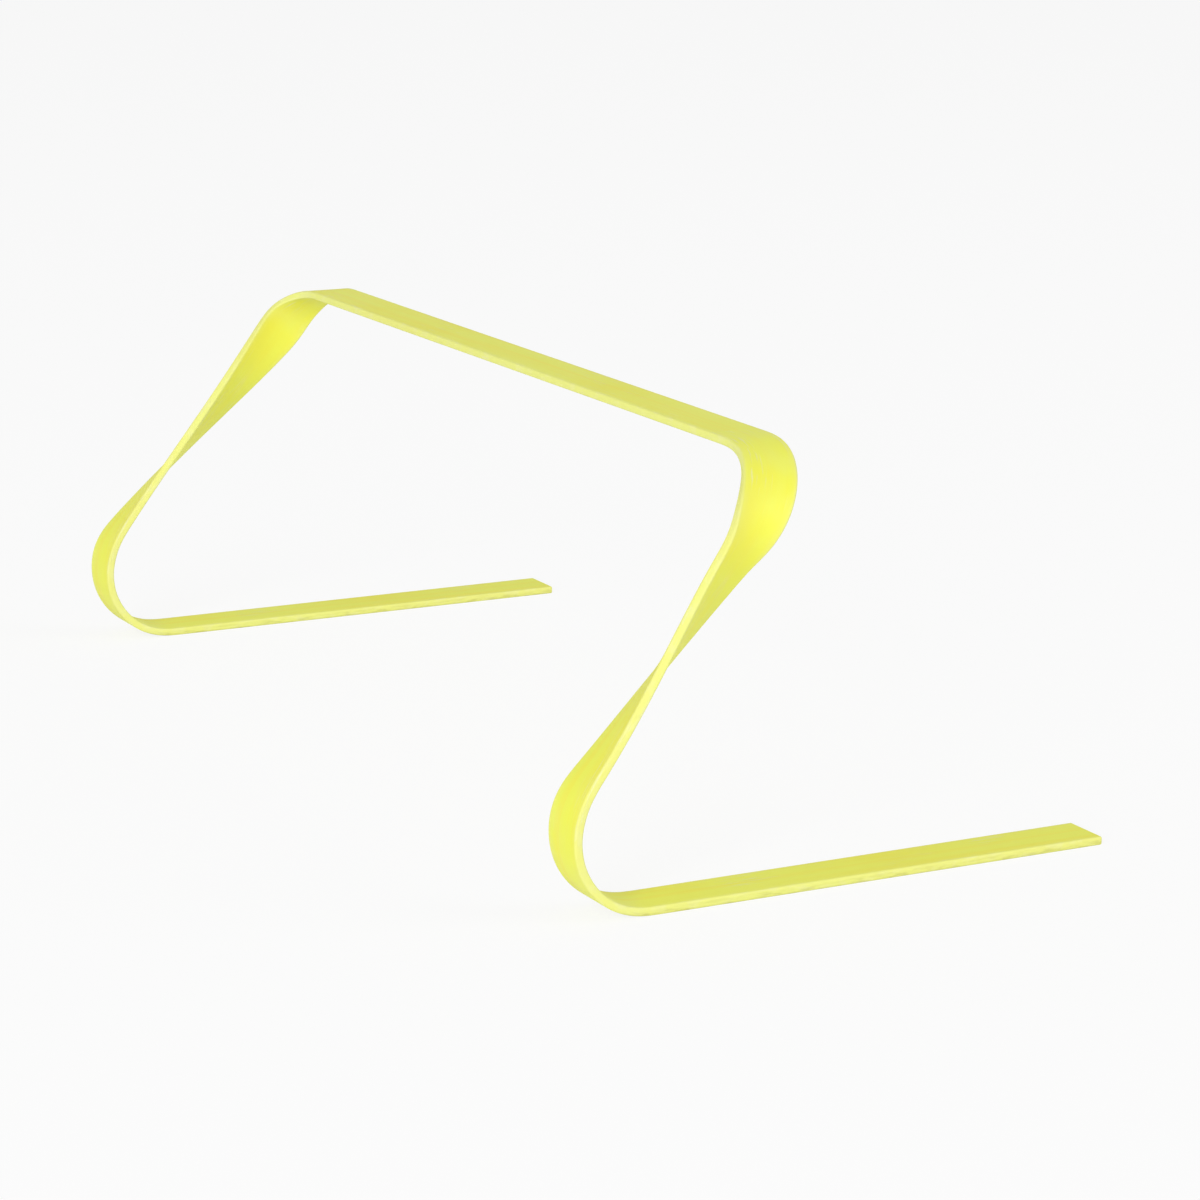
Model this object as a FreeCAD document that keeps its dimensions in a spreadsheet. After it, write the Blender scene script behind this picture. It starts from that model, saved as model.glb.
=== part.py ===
"""Speed hurdle: one flat plastic strip bent into two feet, two twisted legs and a level crossbar.

Lengths are in millimetres, angles in degrees, +Z is up and +Y runs along the crossbar to the left
foot. The origin is on the floor under the middle of the hurdle.
"""
import FreeCAD, Part
import math
import os
import Sketcher

SIDES = {"left": 1, "right": -1}

# Sizes that drive the hurdle, each written once.
SIZES = {
    "strip_width": 20.0,
    "strip_thickness": 3.2,
    "edge_radius": 0.8,
    "hurdle_height": 152.4,
    "foot_spacing": 434.0,
    "foot_reach": 217.0,
    "heel_radius": 28.0,
    "leg_angle": 49.0,
    "left_set_in": 10.0,
    "right_set_in": 6.0,
    "left_corner_radius": 21.0,
    "right_corner_radius": 41.0,
    "twist_lead": 15.0,
    "twist_end_share": 0.82,
    "flex_clearance": 0.3,
    "cut_overrun": 4.0,
}

# Sizes that follow from the ones above.
DERIVED = {
    # the heel turns the strip from lying on the floor to the slope of the leg
    "heel_half_turn": "(180 - leg_angle) / 2",
    "heel_height": "heel_radius + strip_thickness / 2",
    "heel_x": "heel_radius - foot_reach / 2 + strip_thickness / 4",
    "foot_flat": "foot_reach - heel_radius",
    # part of the heel bend in which the twist has already begun
    "lead_turn": "twist_lead / heel_radius * 180 / pi",
    # from the middle of the heel bend up the slope to the crossbar
    "bar_rise": "hurdle_height - strip_thickness / 2 - heel_height",
    "slope_length": "(bar_rise - heel_radius * cos(leg_angle)) / sin(leg_angle)",
    "bar_x": "heel_x - heel_radius * sin(leg_angle) + slope_length * cos(leg_angle)",
    "left_leg_length": "slope_length - left_corner_radius",
    "right_leg_length": "slope_length - right_corner_radius",
    "left_corner_length": "left_corner_radius * pi / 2",
    "right_corner_length": "right_corner_radius * pi / 2",
    "left_corner_y": "foot_spacing / 2 - left_set_in - left_corner_radius",
    "right_corner_y": "foot_spacing / 2 - right_set_in - right_corner_radius",
    "bar_length": "left_corner_y + right_corner_y",
    "bar_y": "(left_corner_y - right_corner_y) / 2",
}

# Places of the sections in the heel, up the leg and round the corner, as shares of each.
HEEL_SHARES = (1.0, 0.6, 0.3)
LEG_SHARES = (0.0, 0.14, 0.28, 0.43, 0.58, 0.72, 0.86, 1.0)
CORNER_SHARES = (0.0, 0.12, 0.25, 0.38, 0.5, 0.62, 0.75, 0.88, 1.0)


def fill_sheet(doc):
    """Spreadsheet with one aliased cell for each size and each derived size."""
    sheet = doc.addObject("Spreadsheet::Sheet", "Sizes")
    row = 0
    for name, value in SIZES.items():
        row += 1
        sheet.set("A%d" % row, name)
        sheet.set("B%d" % row, str(value))
        sheet.setAlias("B%d" % row, name)
    doc.recompute()
    for name, formula in DERIVED.items():
        row += 1
        sheet.set("A%d" % row, name)
        sheet.set("B%d" % row, "=" + formula)
        sheet.setAlias("B%d" % row, name)
        doc.recompute()
    return sheet


def new_body(doc, label, x, y, z, tilt="0"):
    """Named body, placed by expressions and tilted about the crossbar's direction."""
    body = doc.addObject("PartDesign::Body", label)
    body.Label = label
    body.setExpression(
        "Placement", "placement(vector(%s; %s; %s); rotationy(%s))" % (x, y, z, tilt))
    return body


def origin_feature(body, role):
    """Plane or axis of the body's own origin."""
    return [item for item in body.Origin.OriginFeatures if item.Role == role][0]


def rounded_outline():
    """Lines and arcs of the strip's section, one side and the rounded edge after it in turn."""
    radius = SIZES["edge_radius"]
    across = SIZES["strip_thickness"] / 2 - radius
    along = SIZES["strip_width"] / 2 - radius
    middles = (
        FreeCAD.Vector(across, -along, 0),
        FreeCAD.Vector(across, along, 0),
        FreeCAD.Vector(-across, along, 0),
        FreeCAD.Vector(-across, -along, 0),
    )
    outline = []
    for index in range(4):
        begin = index * math.pi / 2 - math.pi / 2
        out = FreeCAD.Vector(math.cos(begin), math.sin(begin), 0) * radius
        outline.append(Part.LineSegment(middles[index - 1] + out, middles[index] + out))
        edge = Part.Circle(middles[index], FreeCAD.Vector(0, 0, 1), radius)
        outline.append(Part.ArcOfCircle(edge, begin, begin + math.pi / 2))
    return outline


def strip_section(doc, body, name, role, place, turn):
    """Cross-section of the strip, placed by an expression: a point and a turn.

    Its thickness lies along the sketch's X and its width along the sketch's Y. All four long edges
    are rounded alike.
    """
    sketch = body.newObject("Sketcher::SketchObject", name)
    sketch.AttachmentSupport = [(origin_feature(body, role), "")]
    sketch.MapMode = "FlatFace"
    sketch.setExpression("AttachmentOffset", "placement(vector(%s); %s)" % (place, turn))
    outline = rounded_outline()
    sketch.addGeometry(outline, False)
    for index in range(len(outline)):
        follower = (index + 1) % len(outline)
        sketch.addConstraint(Sketcher.Constraint("Tangent", index, 2, follower, 1))
    for side, way in ((0, "Horizontal"), (2, "Vertical"), (4, "Horizontal"), (6, "Vertical")):
        sketch.addConstraint(Sketcher.Constraint(way, side))
    for edge in (3, 5, 7):
        sketch.addConstraint(Sketcher.Constraint("Equal", 1, edge))
    sketch.addConstraint(Sketcher.Constraint("Symmetric", 1, 3, 5, 3, -1, 1))
    measures = {
        "strip_thickness": ("DistanceX", 6, 1, 2, 1),
        "strip_width": ("DistanceY", 0, 1, 4, 1),
        "edge_radius": ("Radius", 1),
    }
    for size, measure in measures.items():
        index = sketch.addConstraint(Sketcher.Constraint(*measure, SIZES[size]))
        sketch.setExpression("Constraints[%d]" % index, "Sizes." + size)
    doc.recompute()
    return sketch


def heel_bend(doc, body, section, angle, backwards):
    """Stretch of the heel bend: the section turned about the middle of the bend."""
    bend = body.newObject("PartDesign::Revolution", body.Name + "_heel")
    bend.Profile = section
    bend.ReferenceAxis = (origin_feature(body, "Y_Axis"), [""])
    bend.Reversed = backwards
    bend.setExpression("Angle", angle)
    doc.recompute()
    return bend


def flex_round(body, kind, angle, radius, length):
    """Cylinder along the flex line at the middle of the heel bend."""
    cylinder = body.newObject("PartDesign::%sCylinder" % kind, body.Name + "_flex")
    cylinder.AttachmentSupport = [(origin_feature(body, "XZ_Plane"), "")]
    cylinder.MapMode = "FlatFace"
    cylinder.setExpression("Radius", radius)
    cylinder.setExpression("Height", length)
    cylinder.setExpression(
        "AttachmentOffset",
        "placement(vector(-Sizes.heel_radius * sin(%s); -Sizes.heel_radius * cos(%s);"
        " -(%s) / 2); rotationz(0))" % (angle, angle, length))
    return cylinder


def make_foot(doc, side):
    """Flat foot with the lower half of the heel bend, ending in a round nose."""
    label = side + "_foot"
    body = new_body(
        doc, label, "Sizes.heel_x", "%d * Sizes.foot_spacing / 2" % SIDES[side],
        "Sizes.heel_height")
    section = strip_section(
        doc, body, label + "_section", "YZ_Plane", "0; -Sizes.heel_radius; 0", "rotationz(90)")
    flat = body.newObject("PartDesign::Pad", label + "_flat")
    flat.Profile = section
    flat.setExpression("Length", "Sizes.foot_flat")
    doc.recompute()
    heel_bend(doc, body, section, "Sizes.heel_half_turn", False)
    flex_round(
        body, "Additive", "Sizes.heel_half_turn", "Sizes.strip_thickness / 2",
        "(Sizes.strip_width - 2 * Sizes.edge_radius)")
    return body


def twist_turn(side, run, slope, fan):
    """Turn of the strip about its own run, as an expression.

    A level guide swings at a steady rate from across the hurdle, in the heel, to straight ahead
    near the crossbar. The width of the strip follows this guide as seen along the run. The run is
    the length of strip from the foot of the leg, slope the angle there in the heel or leg, and fan
    the angle turned in the corner.
    """
    span = "Sizes.twist_end_share * (Sizes.%s_leg_length + Sizes.%s_corner_length)" % (side, side)
    share = "(%s + Sizes.twist_lead) / (%s + Sizes.twist_lead)" % (run, span)
    guide = "(90 - 90 * max(0; min(1; %s)))" % share
    ahead = "cos(%s) * sin(%s)" % (guide, slope)
    across = "sin(%s) * cos(%s) + %d * cos(%s) * cos(%s) * sin(%s)" % (
        guide, fan, SIDES[side], guide, slope, fan)
    return "rotationz(-atan2(%s; %s))" % (ahead, across)


def make_leg(doc, side):
    """Upper half of the heel bend with the twisted leg, a loft of turning sections."""
    label = side + "_leg"
    body = new_body(
        doc, label, "Sizes.heel_x", "%d * Sizes.foot_spacing / 2" % SIDES[side],
        "Sizes.heel_height", "90 - Sizes.leg_angle")
    sections = []
    for share in HEEL_SHARES:
        back = "(%s * Sizes.lead_turn)" % share
        turn = twist_turn(
            side, "-%s * Sizes.twist_lead" % share, "(Sizes.leg_angle + %s)" % back, "0")
        sections.append(strip_section(
            doc, body, "%s_section_%d" % (label, len(sections)), "XY_Plane",
            "-Sizes.heel_radius * cos(%s); 0; -Sizes.heel_radius * sin(%s)" % (back, back),
            "rotationy(-%s) * %s" % (back, turn)))
    for share in LEG_SHARES:
        # the set-in eases in and out, so that the leg leaves both bends straight
        eased = share * share * (3 - 2 * share)
        height = "%s * Sizes.%s_leg_length" % (share, side)
        sections.append(strip_section(
            doc, body, "%s_section_%d" % (label, len(sections)), "XY_Plane",
            "-Sizes.heel_radius; %s * Sizes.%s_set_in; %s" % (-SIDES[side] * eased, side, height),
            twist_turn(side, height, "Sizes.leg_angle", "0")))
    heel_bend(doc, body, sections[0], "Sizes.heel_half_turn - Sizes.lead_turn", True)
    twist = body.newObject("PartDesign::AdditiveLoft", label + "_twist")
    twist.Profile = sections[0]
    twist.Sections = sections[1:]
    doc.recompute()
    flex_round(
        body, "Subtractive", "(90 - Sizes.heel_half_turn)",
        "Sizes.strip_thickness / 2 + Sizes.flex_clearance",
        "(Sizes.strip_width + 2 * Sizes.cut_overrun)")
    return body


def make_corner(doc, side):
    """Rounded corner from the slope of the leg to the level crossbar, a loft round a fan."""
    label = side + "_corner"
    radius = "Sizes.%s_corner_radius" % side
    body = new_body(
        doc, label, "Sizes.bar_x - %s * cos(Sizes.leg_angle)" % radius,
        "%d * Sizes.%s_corner_y" % (SIDES[side], side),
        "Sizes.heel_height + Sizes.bar_rise - %s * sin(Sizes.leg_angle)" % radius,
        "90 - Sizes.leg_angle")
    sections = []
    for share in CORNER_SHARES:
        fan = "(90 * %s)" % share
        run = "(Sizes.%s_leg_length + %s * Sizes.%s_corner_length)" % (side, share, side)
        sections.append(strip_section(
            doc, body, "%s_section_%d" % (label, len(sections)), "XY_Plane",
            "0; %d * %s * cos(%s); %s * sin(%s)" % (SIDES[side], radius, fan, radius, fan),
            "rotationx(%d * %s) * %s" % (
                SIDES[side], fan, twist_turn(side, run, "Sizes.leg_angle", fan))))
    bend = body.newObject("PartDesign::AdditiveLoft", label + "_bend")
    bend.Profile = sections[0]
    bend.Sections = sections[1:]
    return body


def make_crossbar(doc):
    """Level bar between the corners, lying flat."""
    label = "crossbar"
    body = new_body(
        doc, label, "Sizes.bar_x", "Sizes.bar_y", "Sizes.heel_height + Sizes.bar_rise")
    section = strip_section(
        doc, body, label + "_section", "XZ_Plane", "0; 0; -Sizes.bar_length / 2", "rotationz(90)")
    bar = body.newObject("PartDesign::Pad", label + "_bar")
    bar.Profile = section
    bar.setExpression("Length", "Sizes.bar_length")
    return body


def check_document(doc):
    """Stop if any object failed or any body has no sound solid."""
    for item in doc.Objects:
        if "Invalid" in item.State or "Error" in item.State:
            raise RuntimeError("%s failed: %s" % (item.Name, item.State))
    for body in doc.findObjects("PartDesign::Body"):
        if body.Shape.isNull() or not body.Shape.isValid() or len(body.Shape.Solids) != 1:
            raise RuntimeError("%s has no sound solid" % body.Label)


def main():
    doc = FreeCAD.newDocument("speed_hurdle")
    fill_sheet(doc)
    bodies = [make_crossbar(doc)]
    for side in SIDES:
        bodies.append(make_foot(doc, side))
        bodies.append(make_leg(doc, side))
        bodies.append(make_corner(doc, side))
    doc.recompute()
    check_document(doc)
    os.makedirs("parts", exist_ok=True)
    for body in bodies:
        body.Shape.exportStep("parts/%s.step" % body.Label)
        box = body.Shape.optimalBoundingBox()
        print(body.Label, "volume %.1f" % body.Shape.Volume, "x %.2f %.2f" % (box.XMin, box.XMax),
              "y %.2f %.2f" % (box.YMin, box.YMax), "z %.2f %.2f" % (box.ZMin, box.ZMax))


main()
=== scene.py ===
import math
from collections import namedtuple

import bpy
import numpy as np
from bpy.props import FloatProperty, FloatVectorProperty, PointerProperty
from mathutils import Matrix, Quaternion, Vector


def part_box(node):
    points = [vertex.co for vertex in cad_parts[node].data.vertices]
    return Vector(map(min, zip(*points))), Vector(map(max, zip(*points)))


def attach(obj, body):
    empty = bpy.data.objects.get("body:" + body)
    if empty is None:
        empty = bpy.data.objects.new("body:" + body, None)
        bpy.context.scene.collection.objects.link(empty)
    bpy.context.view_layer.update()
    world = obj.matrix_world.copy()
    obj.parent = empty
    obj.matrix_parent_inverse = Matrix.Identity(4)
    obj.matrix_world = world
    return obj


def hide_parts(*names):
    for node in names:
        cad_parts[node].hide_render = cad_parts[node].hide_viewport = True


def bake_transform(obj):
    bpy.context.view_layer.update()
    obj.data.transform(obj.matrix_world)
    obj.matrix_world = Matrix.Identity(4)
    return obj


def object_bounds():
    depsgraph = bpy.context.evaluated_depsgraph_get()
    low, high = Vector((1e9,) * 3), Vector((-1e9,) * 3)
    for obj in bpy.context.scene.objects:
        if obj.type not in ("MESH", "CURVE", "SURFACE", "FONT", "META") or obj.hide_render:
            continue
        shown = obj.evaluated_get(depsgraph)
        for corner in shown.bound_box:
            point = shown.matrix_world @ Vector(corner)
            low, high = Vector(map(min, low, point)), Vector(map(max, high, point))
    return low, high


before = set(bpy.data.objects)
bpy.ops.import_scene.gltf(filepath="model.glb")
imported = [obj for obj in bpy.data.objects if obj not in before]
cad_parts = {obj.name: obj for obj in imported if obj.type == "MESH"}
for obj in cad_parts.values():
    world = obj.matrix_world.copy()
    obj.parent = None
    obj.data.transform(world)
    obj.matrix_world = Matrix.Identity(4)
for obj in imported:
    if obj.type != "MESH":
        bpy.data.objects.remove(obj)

bl_info = {
    "name": "Speed hurdle",
    "version": (1, 0, 0),
    "blender": (4, 5, 0),
    "location": "3D View > Sidebar > Hurdle",
    "description": "Builds a low speed hurdle from one bent and twisted plastic strip",
    "category": "Object",
}

AHEAD = np.array((1.0, 0.0, 0.0))
ACROSS = np.array((0.0, 1.0, 0.0))
UPWARD = np.array((0.0, 0.0, 1.0))
INWARD = {"left": -ACROSS, "right": ACROSS}
QUARTER_TURN = math.pi / 2

# Plain sizes of the strip, read from the boxes of the solids.
CAD_LOW, CAD_HIGH = [list(corner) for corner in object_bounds()]
BAR_LOW, BAR_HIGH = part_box("crossbar")
FOOT_LOW, FOOT_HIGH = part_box("left_foot")
THICKNESS = BAR_HIGH[2] - BAR_LOW[2]
FOOT_LINE = (FOOT_LOW[1] + FOOT_HIGH[1]) / 2

# How far each leg leans inwards, which no box shows.
LEFT_SET_IN = 0.010
RIGHT_SET_IN = 0.006

# Fineness of the path: spacing of its points, and samples that ease a bend.
PATH_STEP = 0.0002
EASE_SAMPLES = 41

# Fineness of the meshes along the strip: spacing of the rings, and support beside a seam.
RING_STEP = 0.00125
BAR_RING_STEP = 4 * RING_STEP
SEAM_SUPPORT = 0.00003

# Fineness round the strip: steps of a rounded edge, steps over the middle of a wide face, and the
# shares of its half width at which those steps and the outermost support lie.
ROUND_STEPS = 6
FACE_STEPS = 7
FACE_SPREAD = 0.75
FACE_SUPPORT = 0.96

# Shares of the strip's width, from its middle line, at which the pale rim starts and is full. The
# pale rim is partly a paler cut edge and partly a painted highlight along the narrow edges.
RIM_START = 0.42
RIM_FULL = 0.495

# Heights over the floor, in thicknesses of the strip, at which the dirt and the painted contact
# shade along the bottom of the feet are full and end.
GRIME_AND_SHADE_FULL = 0.1
GRIME_AND_SHADE_END = 1.1

# Patterns of the plastic: waves of noise per metre along, across and through the flat strip, steps
# of finer noise, and the noise values at which a patch starts and is full.
Pattern = namedtuple("Pattern", "waves detail start full", defaults=(0.0, 1.0))
CLOUD = Pattern((14.0, 30.0, 30.0), 3.0, 0.45, 0.75)
FLOW = Pattern((5.0, 330.0, 330.0), 2.0, 0.45, 0.70)
DIE_LINES = Pattern((9.0, 1300.0, 1300.0), 3.0)
GRAIN = Pattern((1300.0, 1300.0, 1300.0), 2.0)
WEAR = Pattern((22.0, 45.0, 45.0), 3.0, 0.46, 0.62)
SCRATCHES = Pattern((75.0, 1400.0, 1400.0), 2.0, 0.57, 0.68)
RUBBING = Pattern((140.0, 300.0, 300.0), 3.0, 0.48, 0.64)
SPECKS = Pattern((150.0, 900.0, 900.0), 3.0, 0.42, 0.70)
STRETCH = Pattern((60.0, 90.0, 90.0), 2.0, 0.35, 0.75)

# Strength of each finer step of the noise against the one before, and the noise's middle value.
NOISE_ROUGHNESS = 0.55
NOISE_MIDDLE = 0.5

# Share of each pattern in the relief of the surface.
DIE_LINE_RELIEF = 0.5
GRAIN_RELIEF = 0.35
SCUFF_RELIEF = 0.6

# What each pattern adds to the roughness of the clean plastic.
CLOUD_MATT = 0.18
SCUFF_MATT = 0.16
RIM_MATT = 0.12
GRIME_MATT = 0.25

# Nearest and farthest distance that the camera sees.
NEAR_CLIP = 0.01
FAR_CLIP = 50.0


class HurdleStrip(bpy.types.PropertyGroup):
    """Sizes of the strip and of its bends."""

    width: FloatProperty(
        name="Strip width", description="Width of the flat strip",
        default=BAR_HIGH[0] - BAR_LOW[0], min=0.002, unit="LENGTH")
    thickness: FloatProperty(
        name="Strip thickness", description="Thickness of the flat strip",
        default=THICKNESS, min=0.0005, unit="LENGTH")
    edge_round: FloatProperty(
        name="Edge rounding", description="Radius along the four long edges of the strip",
        default=0.0008, min=0.0001, unit="LENGTH")
    end_round: FloatProperty(
        name="End rounding", description="Radius round the cut ends of the feet",
        default=0.0005, min=0.0001, unit="LENGTH")
    height: FloatProperty(
        name="Hurdle height", description="Height of the crossbar's top face",
        default=BAR_HIGH[2], min=0.05, unit="LENGTH")
    foot_line: FloatProperty(
        name="Foot line", description="Distance of each foot from the middle of the hurdle",
        default=FOOT_LINE, min=0.05, unit="LENGTH")
    foot_end: FloatProperty(
        name="Foot end", description="How far ahead the free ends of the feet lie",
        default=FOOT_HIGH[0], unit="LENGTH")
    foot_reach: FloatProperty(
        name="Foot reach", description="Length from the back of the heel to the foot's end",
        default=CAD_HIGH[0] - CAD_LOW[0] - THICKNESS / 2, min=0.05, unit="LENGTH")
    heel_radius: FloatProperty(
        name="Heel radius", description="Radius of the heel bend at mid-thickness",
        default=0.028, min=0.005, unit="LENGTH")
    leg_angle: FloatProperty(
        name="Leg angle", description="Slope of the legs above the floor",
        default=math.radians(49.0), subtype="ANGLE")
    left_set_in: FloatProperty(
        name="Left set-in", description="How far the left leg leans inwards",
        default=LEFT_SET_IN, unit="LENGTH")
    right_set_in: FloatProperty(
        name="Right set-in", description="How far the right leg leans inwards",
        default=RIGHT_SET_IN, unit="LENGTH")
    left_corner_radius: FloatProperty(
        name="Left corner radius", description="Radius of the left corner at mid-thickness",
        default=FOOT_LINE - LEFT_SET_IN - BAR_HIGH[1], min=0.005, unit="LENGTH")
    right_corner_radius: FloatProperty(
        name="Right corner radius", description="Radius of the right corner at mid-thickness",
        default=FOOT_LINE - RIGHT_SET_IN + BAR_LOW[1], min=0.005, unit="LENGTH")
    bend_ease: FloatProperty(
        name="Bend ease", description="Length over which a bend starts and stops",
        default=0.009, min=0.001, unit="LENGTH")
    twist_lead: FloatProperty(
        name="Twist lead", description="Length of the heel bend that already twists",
        default=0.015, min=0.0, unit="LENGTH")
    twist_end_share: FloatProperty(
        name="Twist end", description="Share of leg and corner at which the twist is complete",
        default=0.82, min=0.3, max=1.0, subtype="FACTOR")
    twist_ease_share: FloatProperty(
        name="Twist ease", description="Share of the twist that starts and stops gently",
        default=0.1, min=0.01, max=0.5, subtype="FACTOR")


class HurdlePlastic(bpy.types.PropertyGroup):
    """Colours, wear and gloss of the strip."""

    lemon: FloatVectorProperty(
        name="Lemon", description="Colour of the plastic", subtype="COLOR", size=3,
        min=0.0, max=1.0, default=(0.85, 0.89, 0.095))
    golden: FloatVectorProperty(
        name="Golden", description="Warmer tone that drifts and flows through the plastic",
        subtype="COLOR", size=3, min=0.0, max=1.0, default=(0.885, 0.81, 0.055))
    cloud_share: FloatProperty(
        name="Clouds", description="How far the drifting clouds turn golden", default=0.6,
        min=0.0, max=1.0, subtype="FACTOR")
    flow_share: FloatProperty(
        name="Flow streaks", description="How far the flow streaks turn golden", default=0.45,
        min=0.0, max=1.0, subtype="FACTOR")
    die_line_share: FloatProperty(
        name="Die lines", description="How far the fine die lines turn golden", default=0.20,
        min=0.0, max=1.0, subtype="FACTOR")
    # Paler tone of the narrow edges, which is partly a paler cut edge and partly a painted
    # highlight, and of the stress-whitened bends.
    pale_rim_and_highlight: FloatVectorProperty(
        name="Pale rim", description="Paler tone of narrow edges and stretched bends",
        subtype="COLOR", size=3, min=0.0, max=1.0, default=(0.79, 0.815, 0.34))
    rim_paleness_and_highlight: FloatProperty(
        name="Rim", description="How far the narrow edges turn pale", default=0.55,
        min=0.0, max=1.0, subtype="FACTOR")
    stretch_share: FloatProperty(
        name="Stretch", description="How far the stretched bends turn pale", default=0.20,
        min=0.0, max=1.0, subtype="FACTOR")
    scuff: FloatVectorProperty(
        name="Scuff", description="Tone of rubbed and scratched plastic", subtype="COLOR", size=3,
        min=0.0, max=1.0, default=(0.84, 0.84, 0.38))
    scuff_share: FloatProperty(
        name="Scuffs", description="Strength of the scratches on the faces", default=0.75,
        min=0.0, max=1.0, subtype="FACTOR")
    rub_share: FloatProperty(
        name="Rubbed rims", description="Strength of the rubbing along the narrow edges",
        default=0.35, min=0.0, max=1.0, subtype="FACTOR")
    # This tone, its strength and its film darken the plastic near the floor: dirt, and a painted
    # contact shade along the bottom of the feet.
    grime_and_contact_shade: FloatVectorProperty(
        name="Grime", description="Tone of dirt near the floor", subtype="COLOR", size=3,
        min=0.0, max=1.0, default=(0.30, 0.27, 0.06))
    grime_and_shade_share: FloatProperty(
        name="Grime strength", description="Strength of the dirt near the floor", default=0.42,
        min=0.0, max=1.0, subtype="FACTOR")
    grime_and_shade_film: FloatProperty(
        name="Grime film", description="Share of the dirt that lies as an even film", default=0.3,
        min=0.0, max=1.0, subtype="FACTOR")
    roughness: FloatProperty(
        name="Roughness", description="Roughness of the clean plastic", default=0.52,
        min=0.0, max=1.0, subtype="FACTOR")
    gloss: FloatProperty(
        name="Gloss", description="Strength of the plastic's reflections", default=0.3,
        min=0.0, max=1.0, subtype="FACTOR")
    relief_strength: FloatProperty(
        name="Relief strength", description="Strength of die lines, grain and scratches in relief",
        default=0.5, min=0.0, max=1.0, subtype="FACTOR")
    relief_depth: FloatProperty(
        name="Relief depth", description="Depth of die lines, grain and scratches",
        default=0.0002, min=0.0, unit="LENGTH")


class HurdleStage(bpy.types.PropertyGroup):
    """Camera, lamps and floor."""

    camera_place: FloatVectorProperty(
        name="Camera", description="Place of the camera", size=3, subtype="TRANSLATION",
        default=(-0.688, -1.310, 0.412))
    camera_aim: FloatVectorProperty(
        name="Aim", description="Point in the middle of the picture", size=3,
        subtype="TRANSLATION", default=(0.015, -0.0133, 0.0549))
    camera_roll: FloatProperty(
        name="Roll", description="Turn of the camera about its line of sight",
        default=math.radians(0.8), subtype="ANGLE")
    lens: FloatProperty(
        name="Lens", description="Focal length", default=114.2, min=10.0, unit="CAMERA")
    film_width: FloatProperty(
        name="Film width", description="Width of the camera's sensor", default=36.0, min=1.0,
        unit="CAMERA")
    floor_half: FloatProperty(
        name="Floor half", description="Half the side of the floor", default=20.0, min=1.0,
        unit="LENGTH")
    floor_tone: FloatProperty(
        name="Floor tone", description="Grey value of the floor", default=0.95,
        min=0.0, max=1.0, subtype="FACTOR")
    floor_white: FloatProperty(
        name="Floor white", description="Share of plain white that the camera sees on the floor",
        default=0.85, min=0.0, max=1.0, subtype="FACTOR")
    room_light: FloatProperty(
        name="Room light", description="Strength of the even light from all around",
        default=0.49, min=0.0)
    key_place: FloatVectorProperty(
        name="Key lamp", description="Place of the soft lamp on the camera's side", size=3,
        subtype="TRANSLATION", default=(-3.4, -3.0, 1.6))
    key_power: FloatProperty(
        name="Key power", description="Power of the soft lamp on the camera's side",
        default=132.0, min=0.0, subtype="POWER")
    side_place: FloatVectorProperty(
        name="Side lamp", description="Place of the soft lamp on the other side", size=3,
        subtype="TRANSLATION", default=(2.8, -2.4, 1.9))
    side_power: FloatProperty(
        name="Side power", description="Power of the soft lamp on the other side",
        default=42.0, min=0.0, subtype="POWER")
    lamp_size: FloatProperty(
        name="Lamp size", description="Diameter of both lamps", default=2.6, min=0.1,
        unit="LENGTH")


class Term:
    """An output of a node, on which plain arithmetic adds Math nodes."""

    def __init__(self, shader, socket):
        self.shader = shader
        self.socket = socket

    def math(self, operation, first, second):
        """Math node on two values, each a term or a plain number."""
        return self.shader.node("ShaderNodeMath", {"operation": operation}, {0: first, 1: second})

    def __add__(self, other):
        return self.math("ADD", self, other)

    def __radd__(self, other):
        return self.math("ADD", other, self)

    def __sub__(self, other):
        return self.math("SUBTRACT", self, other)

    def __rsub__(self, other):
        return self.math("SUBTRACT", other, self)

    def __mul__(self, other):
        return self.math("MULTIPLY", self, other)

    def __rmul__(self, other):
        return self.math("MULTIPLY", other, self)


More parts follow.
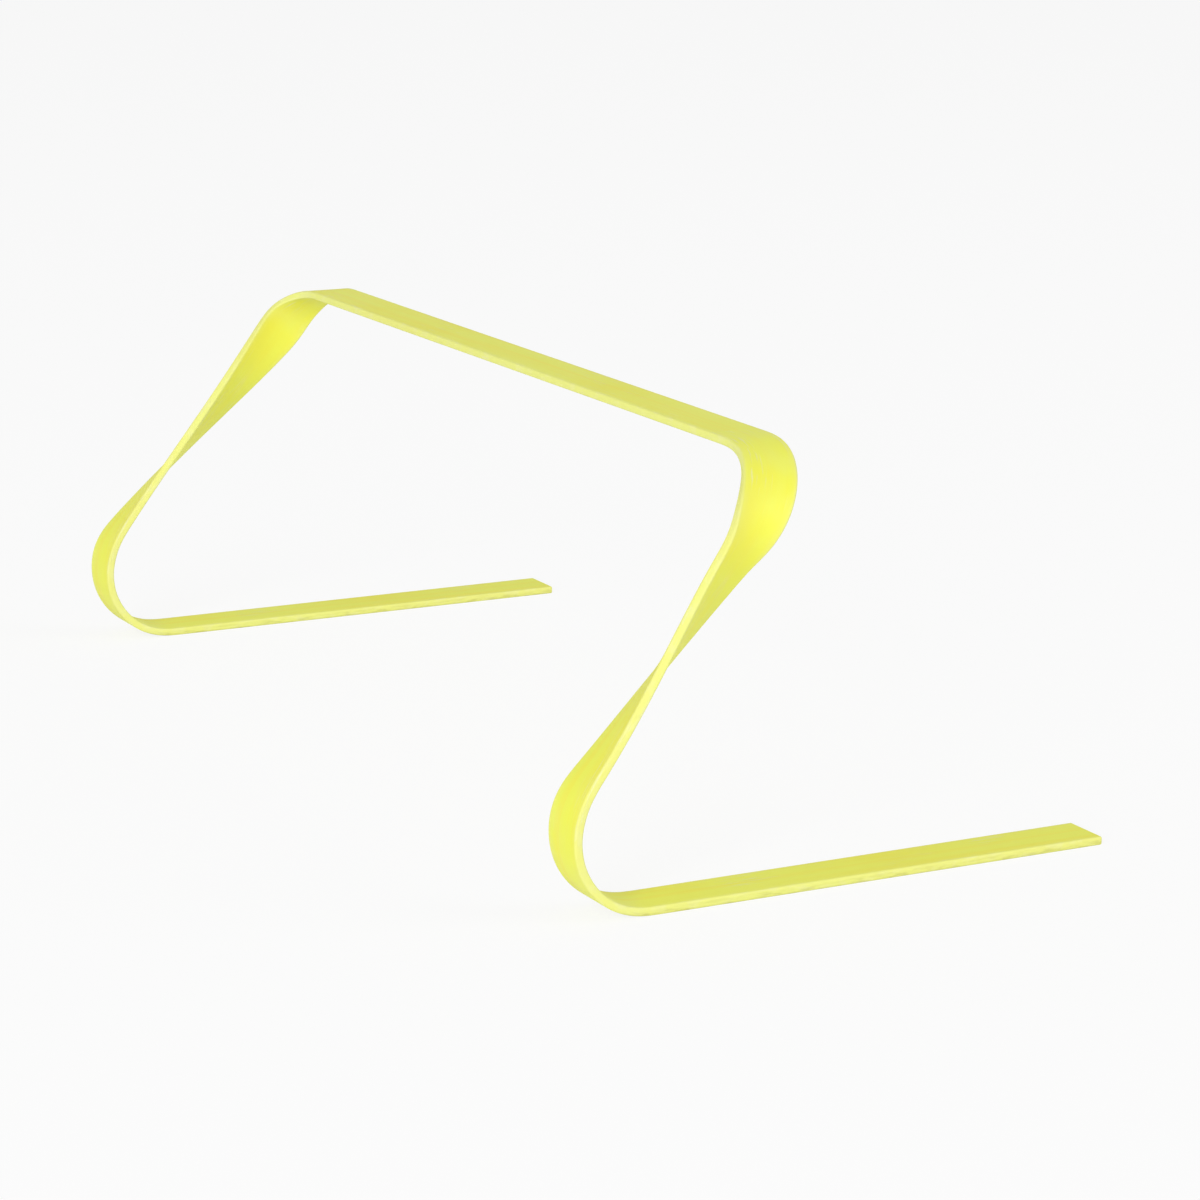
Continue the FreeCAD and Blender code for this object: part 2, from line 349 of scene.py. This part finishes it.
class Shader:
    """Node tree of a material or of the world."""

    def __init__(self, owner):
        owner.use_nodes = True
        self.tree = owner.node_tree
        self.tree.nodes.clear()

    def node(self, kind, settings=None, inputs=None, output=0):
        """Adds a node, makes its settings, fills or links its inputs and gives one output."""
        made = self.tree.nodes.new(kind)
        for name, value in (settings or {}).items():
            setattr(made, name, value)
        for name, value in (inputs or {}).items():
            if isinstance(value, Term):
                self.tree.links.new(value.socket, made.inputs[name])
            else:
                made.inputs[name].default_value = value
        return Term(self, made.outputs[output]) if made.outputs else None

    def attribute(self, name, output="Fac"):
        """Value, or vector, that the mesh keeps at each point."""
        return self.node("ShaderNodeAttribute", {"attribute_name": name}, None, output)

    def noise(self, place, pattern):
        """Noise from 0 to 1, in the pattern's waves along, across and through the strip."""
        spread = self.node("ShaderNodeMapping", None, {"Vector": place, "Scale": pattern.waves})
        return self.node(
            "ShaderNodeTexNoise", {"noise_dimensions": "3D"},
            {"Vector": spread, "Scale": 1.0, "Detail": pattern.detail,
             "Roughness": NOISE_ROUGHNESS})

    def step(self, value, low, high):
        """Smooth step from 0 at low to 1 at high."""
        return self.node(
            "ShaderNodeMapRange", {"interpolation_type": "SMOOTHSTEP"},
            {"Value": value, "From Min": low, "From Max": high, "To Min": 0.0, "To Max": 1.0})

    def patches(self, place, pattern):
        """Noise cut into patches: 0 up to the pattern's start, and 1 from where it is full."""
        return self.step(self.noise(place, pattern), pattern.start, pattern.full)

    def mix(self, factor, first, second):
        """Colour between two colours, which a Mix node keeps at inputs 6 and 7 and output 2."""
        return self.node(
            "ShaderNodeMix", {"data_type": "RGBA", "clamp_factor": True},
            {0: factor, 6: first, 7: second}, 2)

    def seen(self):
        """1 for rays from the camera, from a gloss or through glass, and 0 for other light."""
        rays = [
            self.node("ShaderNodeLightPath", None, None, kind)
            for kind in ("Is Camera Ray", "Is Glossy Ray", "Is Transmission Ray")]
        return self.step(rays[0] + rays[1] + rays[2], 0.0, 1.0)


def opaque(colour):
    """Colour with full alpha, as a colour input takes it."""
    return (*colour, 1.0)


def strip_plastic(look):
    """Satin yellow plastic with drifting tone, flow streaks, pale rims, scuffs and a little dirt
    near the floor.

    Every pattern lies on the flat strip before bending: along, across and through it. Scuffs are
    scratches within worn patches. Pale rims are paler cut edges with a painted highlight along
    them. The dirt near the floor, an even film with specks in it, is also a painted contact shade
    along the bottom of the feet.
    """
    material = bpy.data.materials.new("yellow_strip_plastic")
    shader = Shader(material)
    place = shader.attribute("flat_place", "Vector")
    rim = shader.attribute("rim")
    bend = shader.attribute("bend")
    low = shader.attribute("low")

    cloud = shader.noise(place, CLOUD)
    golden_cloud = shader.step(cloud, CLOUD.start, CLOUD.full)
    flow = shader.patches(place, FLOW)
    die_lines = shader.noise(place, DIE_LINES)
    grain = shader.noise(place, GRAIN)
    scuffs = shader.patches(place, WEAR) * shader.patches(place, SCRATCHES)
    rubbed_rim = shader.patches(place, RUBBING) * rim
    specks = shader.patches(place, SPECKS)
    # Darker near the floor, as an even film with specks: dirt, and a painted contact shade along
    # the bottom of the feet.
    grime_and_contact_shade = low * (look.grime_and_shade_film + (1 - look.grime_and_shade_film) * specks)
    stretched = shader.patches(place, STRETCH) * bend

    golden = opaque(look.golden)
    streaks = look.flow_share * flow + look.die_line_share * die_lines
    # Paler narrow edges, partly a painted highlight along them, and paler stress-whitened bends.
    paleness_and_highlight = look.stretch_share * stretched + look.rim_paleness_and_highlight * rim
    wear = look.scuff_share * scuffs + look.rub_share * rubbed_rim
    colour = shader.mix(look.cloud_share * golden_cloud, opaque(look.lemon), golden)
    colour = shader.mix(streaks, colour, golden)
    colour = shader.mix(paleness_and_highlight, colour, opaque(look.pale_rim_and_highlight))
    colour = shader.mix(wear, colour, opaque(look.scuff))
    colour = shader.mix(look.grime_and_shade_share * grime_and_contact_shade, colour, opaque(look.grime_and_contact_shade))

    relief = DIE_LINE_RELIEF * die_lines + GRAIN_RELIEF * grain - SCUFF_RELIEF * scuffs
    bump = shader.node(
        "ShaderNodeBump", None,
        {"Strength": look.relief_strength, "Distance": look.relief_depth, "Height": relief})
    matt_wear = SCUFF_MATT * scuffs + RIM_MATT * rim + GRIME_MATT * grime_and_contact_shade
    roughness = look.roughness + CLOUD_MATT * (cloud - NOISE_MIDDLE) + matt_wear
    surface = shader.node(
        "ShaderNodeBsdfPrincipled", None,
        {"Base Color": colour, "Roughness": roughness, "Normal": bump,
         "Specular IOR Level": look.gloss})
    shader.node("ShaderNodeOutputMaterial", None, {"Surface": surface})
    return material


def smooth_step(value, low, high):
    """Step from 0 at low to 1 at high: three times the share squared, less twice it cubed."""
    share = np.clip((value - low) / (high - low), 0.0, 1.0)
    return share ** 2 * (3 - 2 * share)


def gentle_rise(share, ease):
    """Steady rise from 0 to 1, with a parabola over the first and the last part of the way."""
    share = np.clip(share, 0.0, 1.0)
    start = share ** 2 / (2 * ease * (1 - ease))
    middle = (share - ease / 2) / (1 - ease)
    stop = 1 - (1 - share) ** 2 / (2 * ease * (1 - ease))
    return np.where(share < ease, start, np.where(share > 1 - ease, stop, middle))


def stretch_lengths(strip, side):
    """Lengths along the strip of the flat foot, the heel bend, the leg and the corner.

    Heel and corner are arcs, so radius times angle. The leg is the height that the heel leaves,
    over the sine of the slope, less what the corner takes up.
    """
    radius = getattr(strip, side + "_corner_radius")
    slope = math.sin(strip.leg_angle)
    flat = strip.foot_reach - strip.heel_radius
    heel = strip.heel_radius * (math.pi - strip.leg_angle)
    heel_rise = strip.heel_radius * (1 + math.cos(strip.leg_angle))
    leg = (strip.height - strip.thickness - heel_rise) / slope - radius
    return flat, heel, leg, radius * QUARTER_TURN


def sharp_heading(strip, side, run):
    """Heading of the strip at each place, with bends that start and stop at once.

    The run is counted from the foot of the leg. The heading lies back along the foot, turns up
    round the heel, holds the slope of the leg and fans over into the line of the crossbar. On
    the leg it also drifts inwards: six times the share of the leg times the share that is left,
    which is most at half its length and adds up to the set-in.
    """
    _, heel, leg, corner = stretch_lengths(strip, side)
    turn = np.clip((run + heel) / heel, 0.0, 1.0) * (math.pi - strip.leg_angle)
    fan = np.clip((run - leg) / corner, 0.0, 1.0) * QUARTER_TURN
    share = np.clip(run / leg, 0.0, 1.0)
    drift = 6 * share * (1 - share) * getattr(strip, side + "_set_in") / leg
    rising = np.sin(turn)[..., None] * UPWARD - np.cos(turn)[..., None] * AHEAD
    return np.cos(fan)[..., None] * rising + (np.sin(fan) + drift)[..., None] * INWARD[side]


def strip_path(strip, side, run):
    """Points and headings along the strip on one side.

    The heading is the sharp one, averaged about each place with a bell of cosine squared, so
    that bends ease in and out. The points are its sum from the free end of the foot.
    """
    flat, heel, _, _ = stretch_lengths(strip, side)
    fine = np.linspace(-heel - flat, run[-1], round((run[-1] + heel + flat) / PATH_STEP))
    bell_share = np.linspace(-1.0, 1.0, EASE_SAMPLES)
    weight = np.cos(bell_share * QUARTER_TURN) ** 2
    spread = fine[:, None] + strip.bend_ease * bell_share
    heading = np.einsum("rsv,s->rv", sharp_heading(strip, side, spread), weight / weight.sum())
    steps = (heading[1:] + heading[:-1]) / 2 * (fine[1] - fine[0])
    tip = (strip.foot_end, 0.0, strip.thickness / 2) - INWARD[side] * strip.foot_line
    points = tip + np.concatenate((np.zeros((1, 3)), np.cumsum(steps, axis=0)))
    points = np.stack([np.interp(run, fine, axis) for axis in points.T], 1)
    heading = np.stack([np.interp(run, fine, axis) for axis in heading.T], 1)
    return points, heading / np.linalg.norm(heading, axis=1)[:, None]


def strip_width(strip, side, heading, run):
    """Direction of the strip's width at each place.

    A level guide swings from across the hurdle to straight ahead over the twisted length. The
    width is the part of this guide that stands square to the heading.
    """
    _, _, leg, corner = stretch_lengths(strip, side)
    span = strip.twist_end_share * (leg + corner) + strip.twist_lead
    swing = gentle_rise((run + strip.twist_lead) / span, strip.twist_ease_share) * QUARTER_TURN
    guide = np.sin(swing)[:, None] * AHEAD + np.cos(swing)[:, None] * ACROSS
    width = guide - np.sum(guide * heading, axis=1)[:, None] * heading
    return width / np.linalg.norm(width, axis=1)[:, None]


def ring_outline(strip, insets):
    """Rounded rectangles, one for each inset, as places across and through the strip.

    Each ring is one set of base points, the centres of the rounded edges and some places along
    the two wide faces, moved out along fixed directions by the edge radius less the inset.
    """
    radius = strip.edge_round
    flat = strip.width / 2 - radius
    wall = strip.thickness / 2 - radius
    quarter = np.linspace(0.0, QUARTER_TURN, ROUND_STEPS)
    middle = np.linspace(FACE_SPREAD, -FACE_SPREAD, FACE_STEPS)
    face = np.concatenate(([FACE_SUPPORT], middle, [-FACE_SUPPORT])) * flat
    still = np.zeros_like(quarter)
    level = np.full_like(face, QUARTER_TURN)
    across = np.concatenate((still + flat, face, still - flat))
    through = np.full_like(across, wall)
    turn = np.concatenate((quarter, level, quarter + QUARTER_TURN))
    base = np.stack((across, through), 1)
    outward = np.stack((np.cos(turn), np.sin(turn)), 1)
    base = np.concatenate((base, -base))
    outward = np.concatenate((outward, -outward))
    return base + (radius - np.asarray(insets))[:, None, None] * outward


def new_object(name, data):
    """Object in the scene that shows a mesh, a lamp or a camera."""
    made = bpy.data.objects.new(name, data)
    bpy.context.scene.collection.objects.link(made)
    return made


def strip_piece(name, strip, plastic, points, heading, width, run, insets):
    """Closed stretch of the strip: the ring outline carried along the points.

    A ring point is the path point, plus its place across times the width direction, plus its
    place through times the normal, which is the heading crossed with the width. The mesh keeps
    for its plastic how near each point is to the rim and to the floor, how sharply the strip
    bends there, and its place on the flat strip.
    """
    outline = ring_outline(strip, insets)
    normal = np.cross(heading, width)
    rings = (
        points[:, None]
        + outline[..., :1] * width[:, None]
        + outline[..., 1:] * normal[:, None])
    count, size = outline.shape[:2]
    row, column = np.meshgrid(np.arange(count - 1) * size, np.arange(size), indexing="ij")
    after = (column + 1) % size
    quads = np.stack((row + column, row + after, row + size + after, row + size + column), -1)
    ring = np.arange(size)
    caps = [ring[::-1].tolist(), (ring + (count - 1) * size).tolist()]

    mesh = bpy.data.meshes.new(name)
    mesh.from_pydata(rings.reshape(-1, 3).tolist(), [], quads.reshape(-1, 4).tolist() + caps)
    smooth = np.ones(len(mesh.polygons), bool)
    smooth[-len(caps):] = False
    mesh.polygons.foreach_set("use_smooth", smooth)

    turning = np.linalg.norm(np.gradient(heading, run, axis=0), axis=1)
    bend = np.clip(turning * strip.heel_radius, 0.0, 1.0)
    along = np.broadcast_to(run[:, None, None], (count, size, 1))
    values = {
        "rim": smooth_step(np.abs(outline[..., 0]) / strip.width, RIM_START, RIM_FULL),
        "bend": np.broadcast_to(bend[:, None], (count, size)),
        "low": 1 - smooth_step(rings[..., 2] / strip.thickness, GRIME_AND_SHADE_FULL, GRIME_AND_SHADE_END),
    }
    for label, value in values.items():
        mesh.attributes.new(label, "FLOAT", "POINT").data.foreach_set(
            "value", value.astype(np.float32).ravel())
    mesh.attributes.new("flat_place", "FLOAT_VECTOR", "POINT").data.foreach_set(
        "vector", np.concatenate((along, outline), -1).astype(np.float32).ravel())
    mesh.materials.append(plastic)
    mesh.update()

    piece = new_object(name, mesh)
    return piece


def shared_plastic(look):
    """The one plastic of the whole strip, made on first use."""
    return bpy.data.materials.get("yellow_strip_plastic") or strip_plastic(look)


def leg_places(strip, side):
    """Places of the rings from the free end of the foot to just past the corner, and insets.

    The first rings follow a quarter circle round the cut end. The last two lie close together,
    so that the shading runs straight into the crossbar.
    """
    flat, heel, leg, corner = stretch_lengths(strip, side)
    first = -heel - flat
    last = leg + corner + strip.bend_ease
    quarter = np.linspace(0.0, QUARTER_TURN, ROUND_STEPS)
    nose = first + strip.end_round * (1 - np.cos(quarter))
    body = np.linspace(
        first + 2 * strip.end_round, last - SEAM_SUPPORT, round((last - first) / RING_STEP))
    run = np.concatenate((nose, body, [last]))
    insets = np.zeros_like(run)
    insets[:ROUND_STEPS] = strip.end_round * (1 - np.sin(quarter))
    return run, insets


class HURDLE_OT_legs(bpy.types.Operator):
    """Make both legs, each with its foot, springy heel bend, twist and upper corner"""

    bl_idname = "hurdle.legs"
    bl_label = "Feet, Heels and Legs"

    def execute(self, context):
        strip = context.scene.hurdle_strip
        plastic = shared_plastic(context.scene.hurdle_plastic)
        for side in INWARD:
            run, insets = leg_places(strip, side)
            points, heading = strip_path(strip, side, run)
            width = strip_width(strip, side, heading, run)
            piece = strip_piece(
                side + "_leg_strip", strip, plastic, points, heading, width, run, insets)
            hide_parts(side + "_foot", side + "_leg", side + "_corner")
            _, heel, _, _ = stretch_lengths(strip, side)
            ends, _ = strip_path(strip, side, np.array((-heel, 0.0)))
            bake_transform(piece)
        return {"FINISHED"}


class HURDLE_OT_crossbar(bpy.types.Operator):
    """Make the level crossbar between the two upper corners"""

    bl_idname = "hurdle.crossbar"
    bl_label = "Crossbar"

    def execute(self, context):
        strip = context.scene.hurdle_strip
        plastic = shared_plastic(context.scene.hurdle_plastic)
        tops = {}
        for side in INWARD:
            run, _ = leg_places(strip, side)
            points, _ = strip_path(strip, side, run)
            tops[side] = (points[-1], run[-1])
        start, first = tops["left"]
        end, _ = tops["right"]
        length = np.linalg.norm(end - start)
        if not np.allclose(start + length * INWARD["left"], end, atol=SEAM_SUPPORT):
            raise RuntimeError("The legs don't end in one level line, so no crossbar can join them")
        body = np.linspace(SEAM_SUPPORT, length - SEAM_SUPPORT, round(length / BAR_RING_STEP))
        place = np.concatenate(([0.0], body, [length]))
        points = start + place[:, None] * INWARD["left"]
        heading = np.broadcast_to(INWARD["left"], points.shape)
        width = np.broadcast_to(AHEAD, points.shape)
        piece = strip_piece(
            "crossbar_strip", strip, plastic, points, heading, width, first + place,
            np.zeros_like(place))
        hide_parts("crossbar")
        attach(piece, "arch")
        return {"FINISHED"}


class HURDLE_OT_stage(bpy.types.Operator):
    """Set out the pale floor, the white room, the soft lamps and the camera"""

    bl_idname = "hurdle.stage"
    bl_label = "Stage"

    def execute(self, context):
        stage = context.scene.hurdle_stage
        self.make_floor(stage)
        self.make_room(context.scene, stage)
        self.make_lamp("key_lamp", stage.key_place, stage.key_power, stage.lamp_size)
        self.make_lamp("side_lamp", stage.side_place, stage.side_power, stage.lamp_size)
        self.make_camera(context.scene, stage)
        context.scene.view_settings.view_transform = "Standard"
        return {"FINISHED"}

    def make_floor(self, stage):
        """Pale floor that keeps the shadow and fades towards white for the camera."""
        mesh = bpy.data.meshes.new("floor")
        corners = np.array(((-1, -1, 0), (1, -1, 0), (1, 1, 0), (-1, 1, 0))) * stage.floor_half
        mesh.from_pydata(corners.tolist(), [], [(0, 1, 2, 3)])
        material = bpy.data.materials.new("pale_floor")
        shader = Shader(material)
        matt = shader.node(
            "ShaderNodeBsdfDiffuse", None, {"Color": opaque((stage.floor_tone,) * 3)})
        white = shader.node("ShaderNodeEmission", None, {"Strength": 1.0})
        surface = shader.node(
            "ShaderNodeMixShader", None, {0: stage.floor_white * shader.seen(), 1: matt, 2: white})
        shader.node("ShaderNodeOutputMaterial", None, {"Surface": surface})
        mesh.materials.append(material)
        floor = new_object("floor", mesh)

    def make_room(self, scene, stage):
        """Room that lights the hurdle evenly, and that the camera sees as plain white."""
        scene.world = bpy.data.worlds.new("room")
        shader = Shader(scene.world)
        strength = stage.room_light + (1.0 - stage.room_light) * shader.seen()
        light = shader.node(
            "ShaderNodeBackground", None, {"Color": opaque((1.0,) * 3), "Strength": strength})
        shader.node("ShaderNodeOutputWorld", None, {"Surface": light})

    def make_lamp(self, name, place, power, size):
        """Round soft lamp that points at the middle of the hurdle."""
        data = bpy.data.lights.new(name, "AREA")
        data.shape = "DISK"
        data.size = size
        data.energy = power
        lamp = new_object(name, data)
        lamp.location = place
        lamp.rotation_euler = (-Vector(place)).to_track_quat("-Z", "Y").to_euler()

    def make_camera(self, scene, stage):
        """Camera that looks from its place to its aim, turned about that line by its roll."""
        camera = new_object("camera", bpy.data.cameras.new("camera"))
        look = Vector(stage.camera_aim) - Vector(stage.camera_place)
        roll = Quaternion((0.0, 0.0, 1.0), stage.camera_roll)
        camera.location = stage.camera_place
        camera.rotation_euler = (look.to_track_quat("-Z", "Y") @ roll).to_euler()
        camera.data.lens = stage.lens
        camera.data.sensor_width = stage.film_width
        camera.data.clip_start = NEAR_CLIP
        camera.data.clip_end = FAR_CLIP
        scene.camera = camera


class HURDLE_PT_panel(bpy.types.Panel):
    """Buttons that build the hurdle"""

    bl_label = "Speed Hurdle"
    bl_idname = "HURDLE_PT_panel"
    bl_space_type = "VIEW_3D"
    bl_region_type = "UI"
    bl_category = "Hurdle"

    def draw(self, context):
        column = self.layout.column(align=True)
        for operator in OPERATORS:
            column.operator(operator.bl_idname)


OPERATORS = (HURDLE_OT_legs, HURDLE_OT_crossbar, HURDLE_OT_stage)
CLASSES = (HurdleStrip, HurdlePlastic, HurdleStage, *OPERATORS, HURDLE_PT_panel)


def register():
    for item in CLASSES:
        bpy.utils.register_class(item)
    bpy.types.Scene.hurdle_strip = PointerProperty(type=HurdleStrip)
    bpy.types.Scene.hurdle_plastic = PointerProperty(type=HurdlePlastic)
    bpy.types.Scene.hurdle_stage = PointerProperty(type=HurdleStage)


def unregister():
    del bpy.types.Scene.hurdle_stage
    del bpy.types.Scene.hurdle_plastic
    del bpy.types.Scene.hurdle_strip
    for item in reversed(CLASSES):
        bpy.utils.unregister_class(item)


def main():
    """Builds the hurdle and its stage."""
    register()
    bpy.ops.hurdle.legs()
    bpy.ops.hurdle.crossbar()
    bpy.ops.hurdle.stage()


if __name__ == "__main__":
    main()
